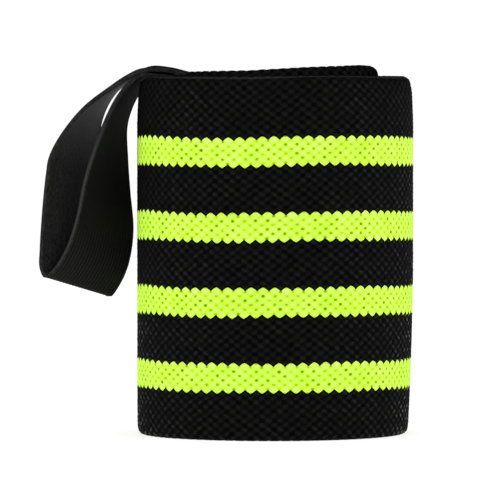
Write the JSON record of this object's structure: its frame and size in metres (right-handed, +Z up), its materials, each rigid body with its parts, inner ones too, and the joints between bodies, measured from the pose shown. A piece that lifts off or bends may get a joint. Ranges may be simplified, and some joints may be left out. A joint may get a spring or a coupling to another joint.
{
  "type": "rolled wrist wrap",
  "caption": "Striped knitted elastic wrist wrap rolled into an upright hollow roll, with an elastic tape thumb loop hanging over its rim and a hook tab at the outer end.",
  "frame": {"origin": "on the surface the roll stands on, at the middle of the footprint of the roll and its thumb loop together", "axes": "+Z up along the roll's axis, +X from the thumb loop towards the far side of the roll, +Y from the front towards the back"},
  "size_m": [0.0814, 0.0616, 0.0804],
  "materials": {
    "striped_knit": "black knitted elastic with lime stripes, matt, small diamond relief",
    "elastic_tape": "black woven elastic tape, fine lengthwise ribs, slight sheen",
    "hook_tape": "black nylon hook tape, fine bristle"
  },
  "bodies": {
    "root": {"wrap_band": "striped_knit", "thumb_loop": "elastic_tape", "hook_tab": "hook_tape"}
  },
  "joints": []
}
